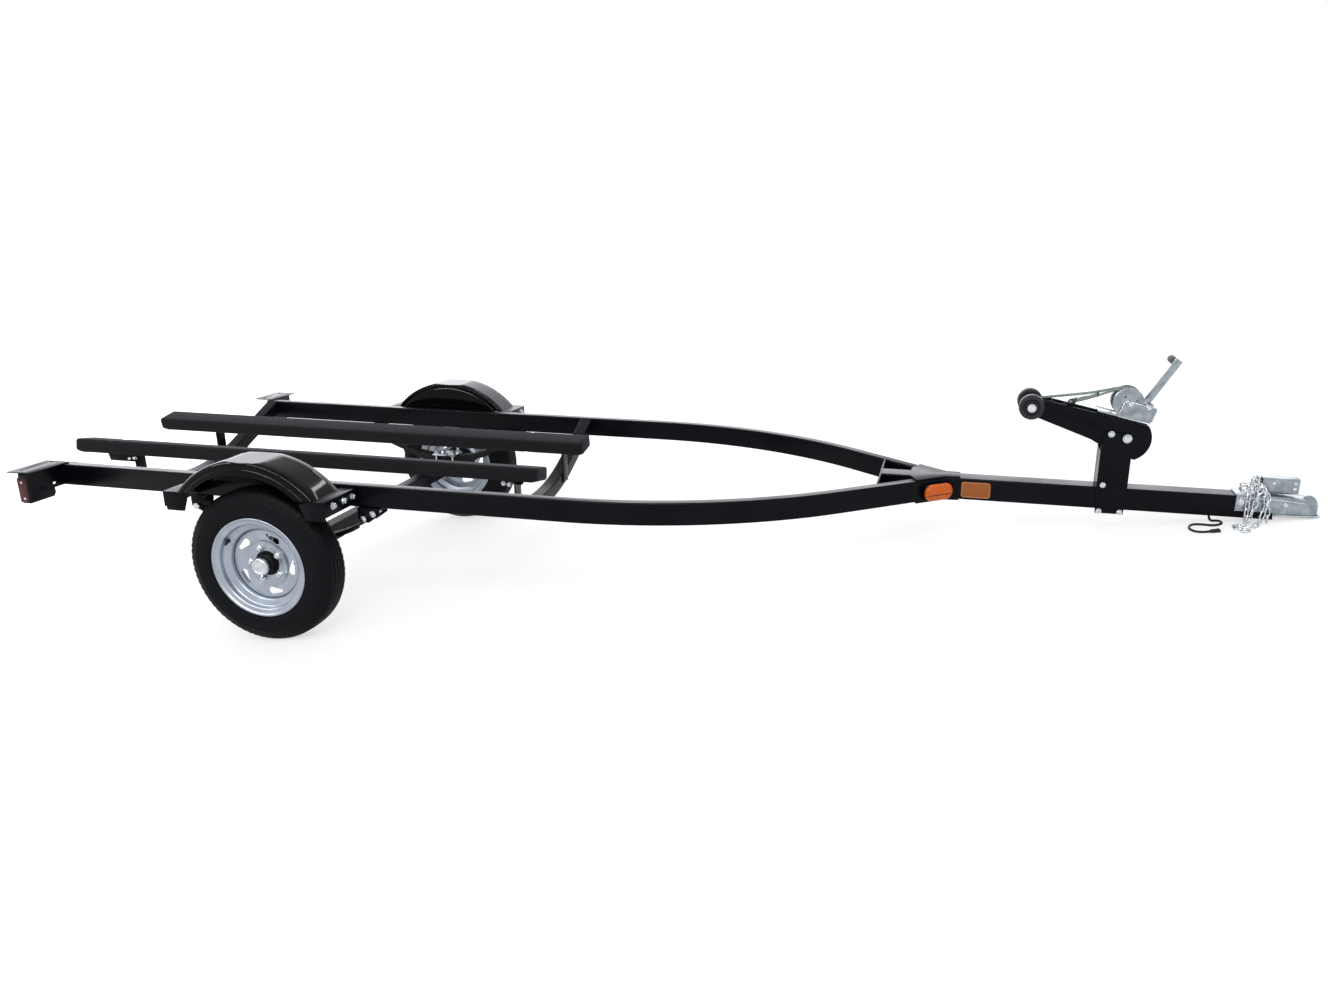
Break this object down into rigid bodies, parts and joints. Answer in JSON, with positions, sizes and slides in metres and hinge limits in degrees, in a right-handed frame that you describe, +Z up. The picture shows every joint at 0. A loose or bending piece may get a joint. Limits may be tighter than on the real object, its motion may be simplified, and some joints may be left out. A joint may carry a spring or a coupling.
{
  "type": "boat trailer",
  "caption": "Small boat trailer with curved side rails meeting at a square tongue, carpeted bunks, leaf springs, fenders, a winch stand and a ball coupler, resting nose down.",
  "frame": {"origin": "on the floor under the middle of the overall box, on the centre plane", "axes": "+X forward towards the coupler, +Y to the trailer's left, +Z up"},
  "size_m": [4.5394, 1.603, 0.6851],
  "materials": {
    "black_coat": "satin black powder coat",
    "black_gloss": "gloss black paint",
    "silver_paint": "satin silver paint",
    "dark_steel": "matt black paint on spring steel",
    "zinc": "bright zinc plate",
    "galvanised": "zinc plated sheet steel",
    "chrome_nuts": "plated",
    "tyre_rubber": "ribbed tread, smooth side wall",
    "roller_rubber": "smooth moulded rubber",
    "black_plastic": "moulded",
    "wiring": "smooth black sheath",
    "carpet": "ribbed marine carpet over a wooden board",
    "rope": "twisted rope",
    "red_lens": "moulded lens over a black housing",
    "amber_lens": "moulded lens"
  },
  "bodies": {
    "frame": {"axle": "black_coat", "axle_clamp_left": "zinc", "axle_clamp_right": "zinc", "bottom_gusset": "black_coat", "bow_arm": "black_coat", "bunk_brackets_left": "black_coat", "bunk_brackets_right": "black_coat", "bunk_left": "carpet", "bunk_right": "carpet", "coupler_body": "galvanised", "coupler_latch": "zinc", "fender_brackets_left": "black_coat", "fender_brackets_right": "black_coat", "fender_left": "black_gloss", "fender_right": "black_gloss", "front_cross_member": "black_coat", "junction_plate": "black_coat", "leaf_spring_left": "dark_steel", "leaf_spring_right": "dark_steel", "marker_base_left": "black_plastic", "marker_base_right": "black_plastic", "marker_lens_left": "amber_lens", "marker_lens_right": "amber_lens", "rear_cross_member": "black_coat", "roller_shaft": "zinc", "rope_winding": "rope", "safety_chains": "zinc", "side_rail_left": "black_coat", "side_rail_right": "black_coat", "side_reflectors": "amber_lens", "spring_bolts_left": "zinc", "spring_bolts_right": "zinc", "spring_hangers_left": "black_coat", "spring_hangers_right": "black_coat", "stand_bolts": "zinc", "tail_bracket_left": "black_coat", "tail_bracket_right": "black_coat", "tail_lamp_left": "red_lens", "tail_lamp_right": "red_lens", "tongue_tube": "black_coat", "top_gusset": "black_coat", "winch_crank": "zinc", "winch_drum": "zinc", "winch_frame": "galvanised", "winch_grip": "black_plastic", "winch_post": "black_coat", "winch_rope": "rope", "wiring_grommet": "roller_rubber", "wiring_lead": "wiring", "wiring_plug": "black_plastic"},
    "wheel_right": {"hub_right": "zinc", "lug_nuts_right": "chrome_nuts", "tyre_right": "tyre_rubber", "wheel_rim_right": "silver_paint"},
    "wheel_left": {"hub_left": "zinc", "lug_nuts_left": "chrome_nuts", "tyre_left": "tyre_rubber", "wheel_rim_left": "silver_paint"},
    "bow_roller_right": {"bow_roller_right": "roller_rubber"},
    "bow_roller_left": {"bow_roller_left": "roller_rubber"}
  },
  "joints": [
    {"name": "wheel_right_spin", "type": "hinge", "parent": "frame", "child": "wheel_right", "pos_m": [-1.17844, -0.714, 0.268], "axis": [0, 1, 0], "continuous": true},
    {"name": "wheel_left_spin", "type": "hinge", "parent": "frame", "child": "wheel_left", "pos_m": [-1.17844, 0.714, 0.268], "axis": [0, 1, 0], "continuous": true},
    {"name": "bow_roller_right_spin", "type": "hinge", "parent": "frame", "child": "bow_roller_right", "pos_m": [1.36906, -0.058, 0.45611], "axis": [0, 1, 0], "continuous": true},
    {"name": "bow_roller_left_spin", "type": "hinge", "parent": "frame", "child": "bow_roller_left", "pos_m": [1.36906, 0.058, 0.45611], "axis": [0, 1, 0], "continuous": true}
  ]
}
